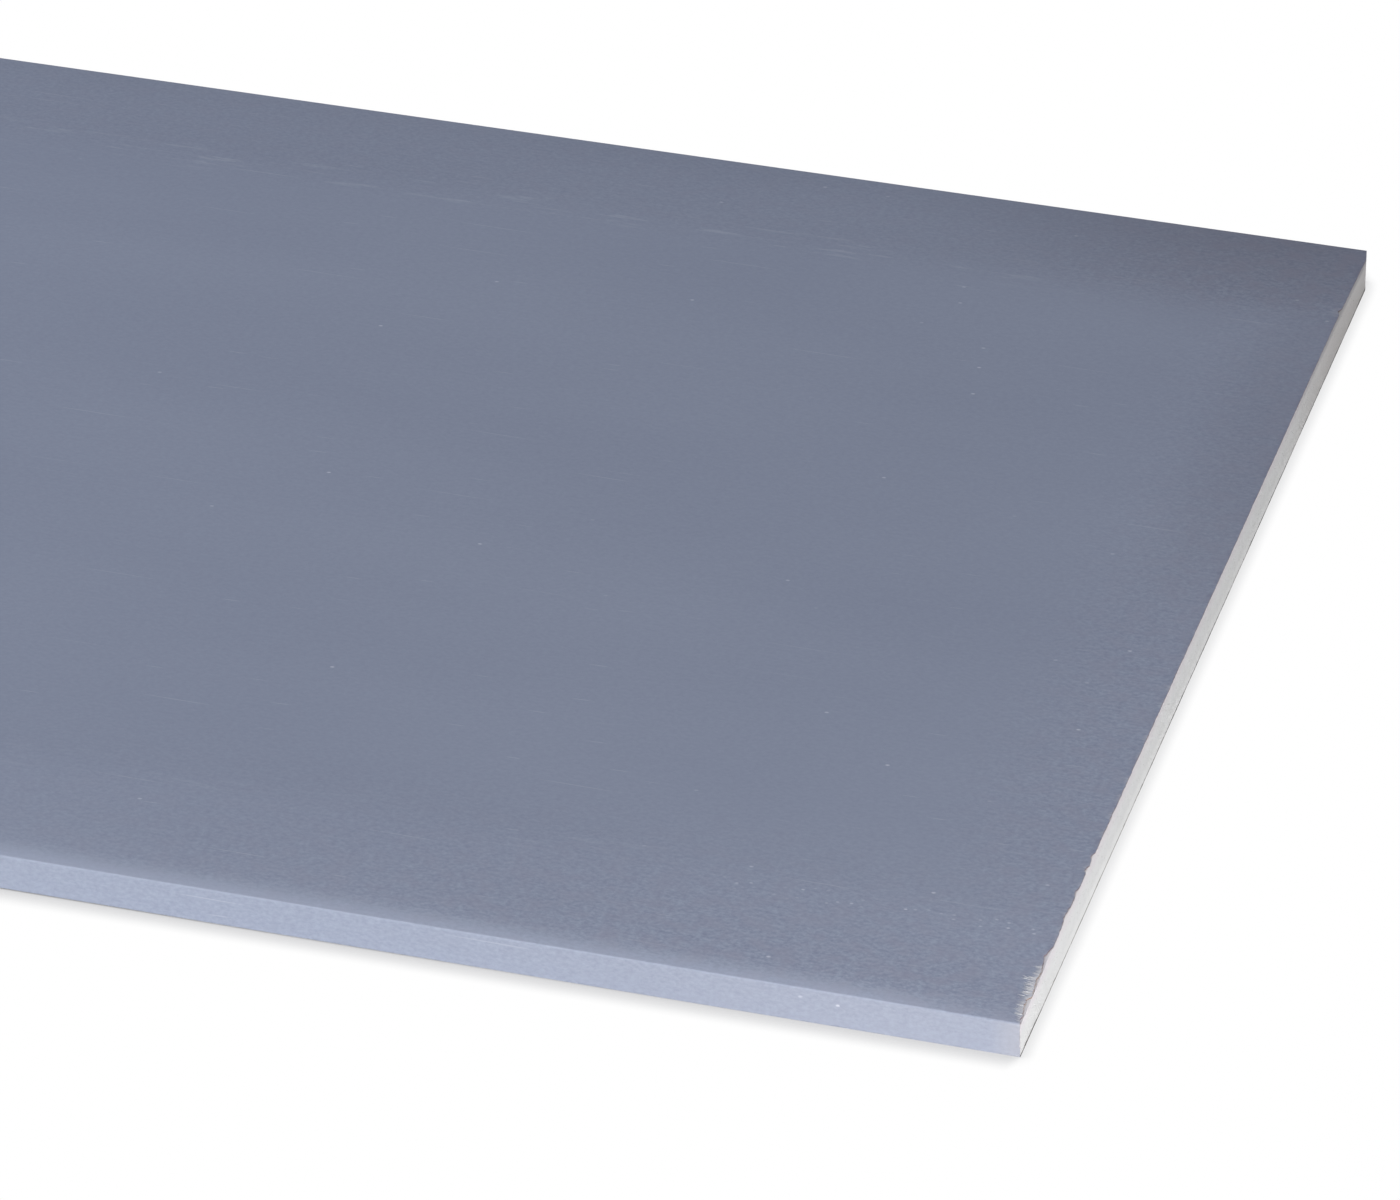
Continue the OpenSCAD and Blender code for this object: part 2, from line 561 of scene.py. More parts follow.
def face_paper_finish():
    """The colour of the felt, with each kind of mark over it as a share, its strength and its own colour."""
    material, tree = new_material("face_paper_blue_grey")
    flat = flat_paper(tree)
    fine = fine_fibres(tree, flat)
    standing = roughened(tree, flat)
    shade = felt(tree, flat, fine, standing)
    colour = blend(tree, shade, paper_dark, paper_light)
    tint = fade(tree, flat_cloud(tree, flat, 90, 130), 0.35, 0.75)
    by_place = fade(tree, flat.on_face, 0.0, 1.0, 0.3, 1.0)
    tinted = times(tree, tint, maths(tree, "SUBTRACT", standing, 0.3), by_place)
    for share, strength, other in (
        (tinted, 0.4, paper_warm),
        (handling_marks(tree, flat), 1.0, worn_light),
        (scuffed(tree, flat), 0.25, worn_light),
        # painted light before the near arris
        (painted_arris_light(tree, flat), 0.46, arris_light_colour),
        (dusted(tree, flat), 0.28, gypsum_dust),
        # two opposite corners painted darker
        (darker_corners(tree, flat), 0.45, corner_darkening),
        # a darker band along the tear
        (darker_by_tear(tree, flat), 0.15, tear_band_dark),
        (peeled(tree, flat), 1.0, torn_pale),
    ):
        colour = blend(tree, times(tree, share, strength), colour, other)
    rough = ramp(tree, shade, 0.0, 1.0, 0.8, 0.95)
    set_dull(tree, colour, rough, fine, strength=0.4, distance=paper_relief)
    return material


face_finish = face_paper_finish()
print("face paper finish has", len(face_finish.node_tree.nodes), "nodes")

# %% [markdown]
# ## The other finishes
# Where paper is cut or torn, its brown-grey inner plies show. The gypsum is an off-white matt mass with small
# pores, a warmer tint with painted shade just below the face paper, painted light at its foot and darker
# corners. The back paper is grey and recycled, with dark and pale fibres. Each could be one colour, but then
# a cut end would look like plastic. All three use Object coordinates, since their patterns don't have to
# follow a fold.

# %% Inner plies of the papers
# A pair of colours is the darkest and the lightest of a mix.
crushed_ply = (rgb(104, 88, 98), rgb(166, 148, 150))
peeled_ply = (rgb(136, 110, 94), rgb(190, 164, 142))
edge_ply = (rgb(158, 148, 160), rgb(200, 192, 200))
back_ply = (rgb(74, 73, 72), rgb(116, 113, 111))
faded_back_ply = rgb(176, 173, 170)


def plain_finish(name, colour_of, height_of, rough, distance=paper_relief):
    """A dull finish from a colour and a height, which are given as functions of the tree and the place."""
    material, tree = new_material(name)
    place = add(tree, "ShaderNodeTexCoord").outputs["Object"]
    set_dull(tree, colour_of(tree, place), rough, height_of(tree, place), strength=0.6, distance=distance)
    print(name, "has", len(tree.nodes), "nodes")
    return material


def paper_height(tree, place):
    """The relief of fibres that lie along the sheet."""
    return cloud(tree, stretch(tree, place, (200, 1200, 1200)), detail=3)


def back_ply_colour(tree, place):
    """A dark line along the cut that fades in and out."""
    fibres = cloud(tree, place, scale=300, detail=3)
    dark = blend(tree, fibres, *back_ply)
    faded = fade(tree, cloud(tree, place, scale=45, detail=1), 0.45, 0.65)
    return blend(tree, times(tree, faded, 0.7), dark, faded_back_ply)


def ply_colour(tree, place):
    """Crushed by the saw, browner where the top ply is peeled off, paler on the long edges, dark below."""
    fibres = cloud(tree, place, scale=700, detail=3)
    bared = times(tree, stored(tree, "peel"), stored(tree, "peel_strength"))
    peeled_off = fade(tree, bared, 1.5 * MM, 3 * MM)
    colour = blend(tree, peeled_off, blend(tree, fibres, *crushed_ply), blend(tree, fibres, *peeled_ply))
    unused, across, height = parts_of(tree, place)
    on_edge = fade(tree, maths(tree, "ABSOLUTE", across), half_width - 1.2 * MM, half_width - 0.5 * MM)
    colour = blend(tree, on_edge, colour, blend(tree, fibres, *edge_ply))
    under_back = fade(tree, height, 1.2 * MM, 0.6 * MM)
    return blend(tree, under_back, colour, back_ply_colour(tree, place))


ply_finish = plain_finish("inner_ply_brown", ply_colour, paper_height, rough=0.9)
back_ply_finish = plain_finish("back_ply_grey", back_ply_colour, paper_height, rough=0.9)

# %% Gypsum
gypsum_mix = (rgb(230, 230, 231), rgb(240, 240, 239))
gypsum_pore = rgb(214, 214, 212)
# A warm tint with painted shade, just below the face paper.
gypsum_tint_and_shade = rgb(228, 219, 225)
# Painted light at the foot of the cut end.
gypsum_foot_light = rgb(247, 247, 247)
# A darker colour for the gypsum towards two opposite corners.
gypsum_corner_darkening = rgb(219, 216, 215)
# Painted shade under the face paper near those corners.
paper_edge_shade = rgb(140, 141, 152)


def gypsum_pores(tree, place):
    """0 in small pores, 1 between them."""
    pattern = add(tree, "ShaderNodeTexVoronoi", {"Vector": place, "Scale": 420.0})
    return fade(tree, pattern.outputs["Distance"], 0.05, 0.2)


def gypsum_colour(tree, place):
    """Mottled and porous, with a warm tint and painted shade just below the face paper, painted light at
    its foot, and darker towards two opposite corners, with painted shade under the paper there."""
    along, across, height = parts_of(tree, place)
    mottle = cloud(tree, place, scale=160, detail=4, roughness=0.6)
    colour = blend(tree, gypsum_pores(tree, place), gypsum_pore, blend(tree, mottle, *gypsum_mix))
    from_middle = maths(tree, "ABSOLUTE", across)
    face_height = ramp(tree, from_middle, ridge, half_width, thickness, thickness - taper_depth)
    below_face = maths(tree, "SUBTRACT", face_height, height)
    # A warm tint and painted shade just below the face paper.
    tint_and_shade_share = times(tree, fade(tree, below_face, 8 * MM, 0.5 * MM), 0.55)
    colour = blend(tree, tint_and_shade_share, colour, gypsum_tint_and_shade)
    # Painted light at the foot of the cut end.
    low_down = fade(tree, height, 7 * MM, 2 * MM)
    foot_light = times(tree, low_down, fade(tree, from_middle, 275 * MM, 195 * MM))
    colour = blend(tree, foot_light, colour, gypsum_foot_light)
    # The mask named dust below makes the gypsum darker towards two opposite corners.
    dark_corner_side = maths(tree, "GREATER_THAN", times(tree, along, across), 0.0)
    dust = times(tree, dark_corner_side, fade(tree, from_middle, 110 * MM, 240 * MM))
    colour = blend(tree, dust, colour, gypsum_corner_darkening)
    # Painted shade under the face paper near those corners.
    shade_under_paper = times(tree, dust, fade(tree, below_face, 4.5 * MM, 1 * MM), 0.5)
    return blend(tree, shade_under_paper, colour, paper_edge_shade)


def gypsum_height(tree, place):
    """The relief of pores and grains."""
    return maths(tree, "ADD", gypsum_pores(tree, place), cloud(tree, place, scale=500, detail=4))


gypsum_finish = plain_finish("gypsum_white", gypsum_colour, gypsum_height, rough=0.92, distance=0.06 * MM)

# %% Back paper's finish
back_mix = (rgb(138, 132, 123), rgb(172, 167, 158))
dark_speck = rgb(100, 96, 92)
pale_speck = rgb(190, 186, 178)


def back_colour(tree, place):
    """Matted grey fibres with sparse dark and pale specks."""
    fibres = cloud(tree, stretch(tree, place, (120, 700, 700)), detail=4, roughness=0.65)
    cells = {"Vector": stretch(tree, place, (90, 320, 1)), "Scale": 1.0}
    pattern = add(tree, "ShaderNodeTexVoronoi", cells, voronoi_dimensions="2D")
    specks = fade(tree, pattern.outputs["Distance"], 0.16, 0.05)
    tones = add(tree, "ShaderNodeSeparateColor", {0: pattern.outputs["Color"]}).outputs
    dark = times(tree, specks, fade(tree, tones[0], 0.7, 1.0))
    pale = times(tree, specks, fade(tree, tones[1], 0.75, 1.0))
    colour = blend(tree, dark, blend(tree, fibres, *back_mix), dark_speck)
    return blend(tree, pale, colour, pale_speck)


back_finish = plain_finish("back_paper_grey", back_colour, paper_height, rough=0.88)

# %% [markdown]
# ## What the saw and the trip did
# A cut end isn't a clean plane: the saw leaves the gypsum slightly uneven, the paper ends in a ragged line,
# and here and there a chip has gone, mostly towards the near corner of the right-hand end. Random noise
# alone could give that, but each sheet has a few marks of its own, so the larger chips and peeled patches are
# short lists of places, and noise fills in the rest.

# %% Chips and peeled patches
# Each chip: where it starts, is deepest and stops across the sheet, and its depth. Each patch: the same, with
# how far it reaches from the cut. All in millimetres, for the right-hand end and the left-hand one.
CHIPS = {
    1: ((-300, -285, -283.2, 1.6), (-281, -273, -266, 0.9), (-268, -258, -251, 1.7), (-238, -230, -224, 0.7),
        (-218, -214.5, -211, 0.7), (-201, -198.5, -196, 0.9), (-192, -188.5, -186, 1.1),
        (238, 240.5, 243, 1.1)),
    -1: ((-266, -262, -257, 1.2), (-122, -120, -117, 0.8), (41, 44, 48, 0.9), (166, 172, 175, 1.2),
         (276, 278, 299, 1.7)),
}
# A patch's last number is how pale it is, up to 1.
PEELS = {
    1: ((-286, -280, -263, 4.6, 1.0), (-299, -287, -284, 3.8, 0.8), (236, 239, 244, 6.5, 0.15)),
    -1: ((258, 275, 290, 6.0, 1.0), (-129, -120, -111, 3.5, 0.6)),
}
# Corners that were knocked blunt: where the loss starts across the sheet, and how deep it is at the corner.
BLUNTED = {1: (292, 1.7), -1: (-293, 1.3)}
# The least raggedness of a cut end, where across it starts to grow towards the ragged corner, and how far on
# it is complete, in millimetres.
LEAST_RAGGED = 0.35
RAGGED_FROM = -60
RAGGED_GROWTH = 220


def ripple(*place):
    """A random value from about -1 to 1, which changes smoothly from place to place."""
    return noise.noise(Vector(place))


def bumps(spots, y, power):
    """The deepest of several humps at a place across the sheet."""
    place = y / MM
    deepest = 0.0
    for start, middle, stop, height in spots:
        end = start if place < middle else stop
        off = (place - middle) / (end - middle)
        if off < 1:
            deepest = max(deepest, height * MM * (1 - off) ** power)
    return deepest


def blunted(side, y):
    """How much a knocked corner has lost along the sheet."""
    start, depth = BLUNTED[side]
    corner = math.copysign(half_width / MM, start)
    return max(0.0, (y / MM - start) / (corner - start)) * depth * MM


def raggedness(side, y):
    """How rough a stretch of a cut end is, up to 1: rougher towards the near corner of the right-hand end and
    the far corner of the left-hand one."""
    towards_corner = min(1.0, max(0.0, (-side * y / MM - RAGGED_FROM) / RAGGED_GROWTH))
    return LEAST_RAGGED + (1 - LEAST_RAGGED) * towards_corner


def torn_back(side, across, y, z):
    """How far the face paper ends short of the true end, at a place across the unfolded paper. The back was
    held by the saw's table, so the paper is cut cleaner there. Each ripple has so many waves to the metre,
    and its depth in the sum is in millimetres."""
    wave = ripple(across * 110, side * 7.0, 0.3)
    tooth = ripple(across * 480, side * 7.0, 5.1)
    thread = ripple(across * 1100, side * 7.0, 9.7)
    rough = 0.30 + 0.24 * wave + 0.28 * tooth + 0.20 * thread
    if z < thickness / 4:
        return max(0.0, 0.1 * rough) * MM + blunted(side, y)
    chips = bumps(CHIPS[side], y, 0.7) * (1 + 0.3 * tooth)
    return max(0.02, rough) * raggedness(side, y) * MM + chips + blunted(side, y)


def broken_back(side, y, z):
    """How far the cut gypsum lies behind the true end, at a place across and up. The ripples are counted as
    in the paper."""
    wave = ripple(y * 70, z * 70, side * 3.1)
    grain = ripple(y * 380, z * 380, side * 5.3)
    crumb = ripple(y * 1000, z * 1000, side * 8.9)
    rough = 0.14 + 0.08 * wave + 0.05 * grain + 0.03 * crumb
    below_face = max(0.0, 1 - (core_high.z - z) / (2.2 * MM))
    crumbling = max(0.0, 0.1 + ripple(y * 210, 1.7, side * 2.2)) * 0.5 * raggedness(side, y)
    chips = bumps(CHIPS[side], y, 0.8) * 0.55
    return max(0.0, rough) * MM + below_face ** 2 * (crumbling * MM + chips) + blunted(side, y)


for side, end in ((1, "right"), (-1, "left")):
    print(end, "end:", len(CHIPS[side]), "chips and", len(PEELS[side]), "peeled patches")

# %% [markdown]
# ## A flat pattern with torn ends
# Paper is flat before it is folded, so the face paper starts as a flat pattern, as a tailor cuts one. A plain
# grid would need fine squares everywhere to show the ragged ends. Here rows of points follow each end and
# grow coarser away from it, and neighbouring rows are zipped together, so detail is spent where it shows.

# %% Rows of points and how they are zipped
# Distance of each row from the cut end and the step between its points, in millimetres.
END_ROWS = ((0.0, 0.6), (0.7, 0.8), (1.7, 1.3), (3.4, 2.3), (6.6, 4.2), (13.0, 8.0), (27.0, 17.0))
MIDDLE_STEP = 34 * MM
CALM_FROM = 13 * MM
# Two places that are closer than this, in metres, are level.
LEVEL = 1e-9


def places_across(lines, step):
    """Every fold line, with even steps between each and the next."""
    places = [lines[0]]
    for start, stop in zip(lines, lines[1:]):
        count = max(1, round((stop - start) / step))
        places += [start + (stop - start) * i / count for i in range(1, count)] + [stop]
    return places


def rows_along():
    """Each row's side of the sheet, distance from the cut end and step, from the left end to the right."""
    near = [(distance * MM, step * MM) for distance, step in END_ROWS]
    calm = 2 * (half_length - near[-1][0])
    count = round(calm / MIDDLE_STEP)
    rows = [(-1, distance, step) for distance, step in near]
    rows += [(-1, near[-1][0] + calm * i / count, MIDDLE_STEP) for i in range(1, count)]
    return rows + [(1, distance, step) for distance, step in near[::-1]]


def zip_rows(lower, upper):
    """Faces between two rows of (place, point): squares where steps agree, triangles where they don't."""
    faces, i, j = [], 0, 0
    while i < len(lower) - 1 or j < len(upper) - 1:
        low_next = lower[i + 1][0] if i < len(lower) - 1 else math.inf
        high_next = upper[j + 1][0] if j < len(upper) - 1 else math.inf
        corners = [lower[i][1], upper[j][1]]
        if high_next <= low_next + LEVEL:
            j += 1
            corners.append(upper[j][1])
        if low_next <= high_next + LEVEL:
            i += 1
            corners.append(lower[i][1])
        faces.append(corners)
    return faces


def flat_pattern(lines, end_of, closed=False):
    """Points, faces and the points' distances from the torn end, for a strip whose two ends are drawn back by
    end_of(side, place). A closed strip's last place is its first one again."""
    points, faces, distances, before = [], [], [], None
    for side, distance, step in rows_along():
        share = max(0.0, 1 - distance / CALM_FROM)
        places = places_across(lines, step)
        row = []
        for place in places[:-1] if closed else places:
            row.append((place, len(points)))
            points.append((side * (half_length - distance - end_of(side, place) * share), place))
            distances.append(distance)
        if closed:
            row.append((places[-1], row[0][1]))
        if before:
            faces += zip_rows(before, row)
        before = row
    return points, faces, distances


print("rows of points along the sheet:", len(rows_along()))

# %% Flat pattern of the face paper
def along_line(lengths, points, length):
    """The across-and-up place at a length along a line of points."""
    for i in range(1, len(lengths)):
        if length <= lengths[i] or i == len(lengths) - 1:
            share = (length - lengths[i - 1]) / (lengths[i] - lengths[i - 1])
            (y0, z0), (y1, z1) = points[i - 1], points[i]
            return y0 + (y1 - y0) * share, z0 + (z1 - z0) * share


def face_paper_end(side, across):
    """How far the face paper ends short, at a place across its pattern."""
    y, z = along_line(outer_lengths, outer_section, across + paper_width / 2)
    return torn_back(side, across, y, z)


fold_lines = [length - paper_width / 2 for length in outer_lengths]
pattern_points, pattern_faces, pattern_distances = flat_pattern(fold_lines, face_paper_end)
face_paper = new_object("face_paper_sheet", [(x, y, 0) for x, y in pattern_points], pattern_faces,
                        face_finish, ply_finish)
print("face paper pattern:", len(pattern_points), "points,", len(pattern_faces), "faces")

# %% What the finish needs to know at each point
# Outside the patches the paper is only frayed: how far from the tear on the face, how much of that on the
# long edges, and how pale.
fray_reach = 2.6 * MM
edge_share = 0.3
fray_strength = 0.5


def store(target, name, values):
    """Gives a mesh one number at each of its points."""
    target.data.attributes.new(name, "FLOAT", "POINT").data.foreach_set("value", values)


peel_reaches, peel_strengths = [], []
for x, across in pattern_points:
    side = 1 if x > 0 else -1
    y, z = along_line(outer_lengths, outer_section, across + paper_width / 2)
    fuzz = max(0.0, 0.5 + ripple(across * 160, side * 4.0, 2.0))
    fuzz *= fray_reach * raggedness(side, y)
    on_top = z > thickness - taper_depth - 1 * MM
    patches = [patch for patch in PEELS[side] if on_top and patch[0] < y / MM < patch[2]]
    peel = bumps([patch[:4] for patch in patches], y, 0.45)
    peel_reaches.append(max(fuzz if on_top else edge_share * fuzz, peel))
    peel_strengths.append(max([patch[4] for patch in patches], default=fray_strength))

store(face_paper, "from_tear", pattern_distances)
store(face_paper, "peel", peel_reaches)
store(face_paper, "peel_strength", peel_strengths)
print("longest peel in mm:", round(max(peel_reaches) / MM, 1))

# %% [markdown]
# ## Folding the paper
# Folding means that every point keeps its place along the sheet, and its place across the pattern becomes a
# length along the section. It could be worked out in Python, but a Geometry Nodes tree does it live: Sample
# Curve turns a length into a place on the section's line. The flat place is stored first, because the finish
# reads it. A Solidify modifier then gives the paper its thickness and puts brown ply on its cut edges.

# %% Tree that folds a flat pattern round a line
def new_tree(name, *inputs):
    """An empty tree with a geometry in and out, and more inputs of given names and kinds."""
    tree = bpy.data.node_groups.new(name, "GeometryNodeTree")
    tree.interface.new_socket("Geometry", in_out="INPUT", socket_type="NodeSocketGeometry")
    tree.interface.new_socket("Geometry", in_out="OUTPUT", socket_type="NodeSocketGeometry")
    for label, kind in inputs:
        tree.interface.new_socket(label, in_out="INPUT", socket_type=kind)
    return tree, add(tree, "NodeGroupInput").outputs, add(tree, "NodeGroupOutput").inputs


def finish_tree(tree, geometry, material, end):
    """Ends a tree in plain geometry with one material."""
    plain = add(tree, "GeometryNodeRealizeInstances", {"Geometry": geometry}).outputs[0]
    painted = add(tree, "GeometryNodeSetMaterial", {"Geometry": plain, "Material": material}).outputs[0]
    tree.links.new(painted, end[0])


def folding_tree():
    """Lays a flat pattern round the section's line, and keeps each point's flat place."""
    tree, start, end = new_tree(
        "Fold paper", ("Section", "NodeSocketObject"), ("Half width", "NodeSocketFloat"),
        ("Finish", "NodeSocketMaterial"))
    flat = add(tree, "GeometryNodeInputPosition").outputs[0]
    kept = add(tree, "GeometryNodeStoreNamedAttribute",
               {"Geometry": start["Geometry"], "Name": "flat_place", "Value": flat}, data_type="FLOAT_VECTOR")
    parts = parts_of(tree, flat)
    line = add(tree, "GeometryNodeObjectInfo", {"Object": start["Section"]}).outputs["Geometry"]
    length = maths(tree, "ADD", parts[1], start["Half width"])
    folded = add(tree, "GeometryNodeSampleCurve", {"Curves": line, "Length": length}, mode="LENGTH")
    across_up = parts_of(tree, folded.outputs["Position"])
    place = add(tree, "ShaderNodeCombineXYZ", {0: parts[0], 1: across_up[1], 2: across_up[2]}).outputs[0]
    moved = add(tree, "GeometryNodeSetPosition", {"Geometry": kept.outputs[0], "Position": place})
    finish_tree(tree, moved.outputs[0], start["Finish"], end)
    return tree


def run_tree(target, tree, **values):
    """Adds the tree to an object as a modifier, with its inputs set by their identifiers."""
    modifier = target.modifiers.new(tree.name, "NODES")
    modifier.node_group = tree
    for item in tree.interface.items_tree:
        key = item.name.lower().replace(" ", "_")
        if item.in_out == "INPUT" and key in values:
            modifier[item.identifier] = values[key]


def thicken(target, thickness, edge_material):
    """Gives a sheet its thickness on its inner side."""
    modifier = target.modifiers.new("thickness", "SOLIDIFY")
    modifier.thickness = thickness
    modifier.offset = -1
    modifier.use_even_offset = True
    modifier.material_offset = edge_material
    modifier.material_offset_rim = edge_material


def make_plain(target):
    """Turns an object and its modifiers into a plain mesh."""
    bpy.context.view_layer.update()
    shown = target.evaluated_get(bpy.context.evaluated_depsgraph_get())
    mesh = bpy.data.meshes.new_from_object(shown)
    target.modifiers.clear()
    target.data = mesh
    mesh.name = target.name
    triangles = sum(len(face.vertices) - 2 for face in mesh.polygons)
    print(target.name, "has", triangles, "triangles")


def smooth(target, degrees):
    """Smooth shading, with creases where faces meet at more than an angle."""
    target.data.shade_smooth()
    target.data.set_sharp_from_angle(angle=math.radians(degrees))


# %% Fold the face paper
section_curve = bpy.data.curves.new("section", "CURVE")
section_curve.dimensions = "3D"
spline = section_curve.splines.new("POLY")
spline.points.add(len(outer_section) - 1)
for point, (y, z) in zip(spline.points, outer_section):
    point.co = (0, y, z, 1)
section_line = add_object("section", section_curve)

run_tree(face_paper, folding_tree(), section=section_line, half_width=paper_width / 2, finish=face_finish)
thicken(face_paper, paper_thickness, edge_material=1)
make_plain(face_paper)
smooth(face_paper, degrees=30)
bpy.data.objects.remove(section_line)

# %% [markdown]
# ## The back paper
# The back paper is flat and laps over the two flaps, so its pattern needs no folding: the same rows of points
# give it torn ends, and Solidify its thickness. It faces down, so its faces are turned over.

# %% Back paper
def back_paper_end(side, across):
    """How far the back paper ends short, which is little, at a place across it."""
    wave = ripple(across * 90, side * 11.0, 3.3)
    tooth = ripple(across * 520, side * 11.0, 7.9)
    return max(0.0, 0.05 + 0.06 * wave + 0.06 * tooth) * MM


back_lines = [-back_paper_edge, -flap_end, 0.0, flap_end, back_paper_edge]
points, faces, unused = flat_pattern(back_lines, back_paper_end)
back_paper = new_object("back_paper_sheet", [(x, y, 0) for x, y in points], [face[::-1] for face in faces],
                        back_finish, back_ply_finish)
thicken(back_paper, flap_level, edge_material=1)
make_plain(back_paper)

# %% [markdown]
# ## The gypsum core
# The core is one closed body: long sides that lie against the papers, and two cut faces that show. The sides
# could be a plain extrusion. Here they come from the same rows of points, so that their ends meet the cut
# faces point for point, and each cut face is filled with fine triangles that are pushed in by the damage.

# %% Outline of the core
core_section = folded_section(paper_thickness)
core_section += [(flap_end, flap_level), (-flap_end, flap_level), core_section[0]]
core_lengths = running_lengths(core_section)


def core_end(side, place):
    """How far the core ends short, at a place round its outline."""
    y, z = along_line(core_lengths, core_section, place)
    return broken_back(side, y, z)


points, core_faces, unused = flat_pattern(core_lengths, core_end, closed=True)
core_points = []
for x, place in points:
    y, z = along_line(core_lengths, core_section, place)
    core_points.append((x, y, z))
print("outline of the core in mm:", round(core_lengths[-1] / MM, 1))

# %% Cut faces of the core
CUT_STEP = 0.9 * MM
EDGE_MARGIN = 0.5 * MM
# Settings of the fill: it stays inside its border, and points closer than this, in metres, are one.
INSIDE_ONLY = 1
SAME_POINT = 1e-7


def heights_at(y):
    """Lowest and highest place of the core's section at a distance from the middle."""
    crossings = []
    for (y0, z0), (y1, z1) in zip(core_section, core_section[1:]):
        if min(y0, y1) <= y <= max(y0, y1) and y0 != y1:
            crossings.append(z0 + (z1 - z0) * (y - y0) / (y1 - y0))
    return min(crossings), max(crossings)


def cut_face_fill():
    """Inner points of a cut face: a staggered lattice that keeps clear of the outline."""
    inner = []
    columns = int(2 * core_high.y / CUT_STEP)
    for column in range(1, columns):
        y = -core_high.y + 2 * core_high.y * column / columns
        low, high = heights_at(y)
        z = low + EDGE_MARGIN + (column % 2) * CUT_STEP / 2
        while z < high - EDGE_MARGIN:
            inner.append((y, z))
            z += CUT_STEP
    return inner


def add_cut_face(side, ring):
    """Fills one end of the core. The ring holds the sides' own points, in order round the section."""
    outline = [core_points[i][1:] for i in ring]
    flat = [Vector(place) for place in outline + cut_face_fill()]
    border = [(i, (i + 1) % len(ring)) for i in range(len(ring))]
    filled = delaunay_2d_cdt(flat, border, [], INSIDE_ONLY, SAME_POINT)
    places, unused, triangles, origins = filled[:4]
    number = {}
    for new, old in enumerate(origins):
        if old and old[0] < len(ring):
            number[new] = ring[old[0]]
        else:
            y, z = places[new]
            number[new] = len(core_points)
            core_points.append((side * (half_length - broken_back(side, y, z)), y, z))
    for triangle in triangles:
        corners = [number[i] for i in triangle]
        core_faces.append(corners if side > 0 else corners[::-1])


ring_size = len(places_across(core_lengths, END_ROWS[0][1] * MM)) - 1
side_points = len(core_points)
add_cut_face(-1, list(range(ring_size)))
add_cut_face(1, list(range(side_points - ring_size, side_points)))

gypsum_core = new_object("gypsum_core_body", core_points, core_faces, gypsum_finish)
smooth(gypsum_core, degrees=40)
print("core:", len(core_points), "points,", len(core_faces), "faces")

# %% [markdown]
# ## Loose fibres
# Where the paper is peeled, single fibres lift off it. They could be drawn one by one. Here one small blade
# is modelled, and a Geometry Nodes tree scatters copies over the peeled patches, pointing away from the cut
# with a random turn and size. The patches are known from the attribute that the finish reads too.

# %% One fibre
fibre_mix = (rgb(216, 215, 218), rgb(243, 242, 243))


def blade(name, length, width, depth, rise, steps=5):
    """A thin closed blade from the origin along -X, which narrows and lifts towards its tip."""
    points, faces = [], []
    for i in range(steps):
        t = i / steps
        x = -length * t
        z = rise * t * t
        half = width / 2 * (1 - t) ** 0.6
        deep = depth * (1 - t)
        points += [(x, -half, z), (x, 0, z + deep), (x, half, z), (x, 0, z - deep)]
    tip = len(points)
    points.append((-length, 0, rise))
    faces.append((3, 2, 1, 0))
    for i in range(steps - 1):
        for k in range(4):
            a, b = 4 * i + k, 4 * i + (k + 1) % 4
            faces.append((a, b, b + 4, a + 4))
    last = 4 * (steps - 1)
    faces += [(last + k, last + (k + 1) % 4, tip) for k in range(4)]
    return new_object(name, points, faces)


def fibre_colour(tree, place):
    """Pale paper, cloudy from fibre to fibre."""
    return blend(tree, cloud(tree, place, scale=900, detail=2), *fibre_mix)


fibre_finish = plain_finish("torn_fibre_white", fibre_colour, paper_height, rough=0.9, distance=0.02 * MM)
fibre = blade("fibre", length=2.8 * MM, width=0.24 * MM, depth=0.03 * MM, rise=0.3 * MM)

# %% Tree that scatters fibres
# Fibres stand only in patches that are paler than this, and within this share of their reach.
shaggy_from = 0.55
shaggy_share = 0.8


def random_number(tree, low, high, seed):
    """A random number for each copy."""
    inputs = {"Min": low, "Max": high, "Seed": seed}
    return add(tree, "FunctionNodeRandomValue", inputs, data_type="FLOAT").outputs[1]


def read_number(tree, name):
    """A number that the mesh carries at each point."""
    return add(tree, "GeometryNodeInputNamedAttribute", {"Name": name}, data_type="FLOAT").outputs[0]


def scatter(tree, mesh, density, seed, shape, turned, size):
    """Copies of a shape on random points of a mesh, at so many to the square metre."""
    spots = add(tree, "GeometryNodeDistributePointsOnFaces", {"Mesh": mesh, "Density": density, "Seed": seed})
    places = {"Points": spots.outputs["Points"], "Instance": shape, "Rotation": turned, "Scale": size}
    return add(tree, "GeometryNodeInstanceOnPoints", places).outputs[0]


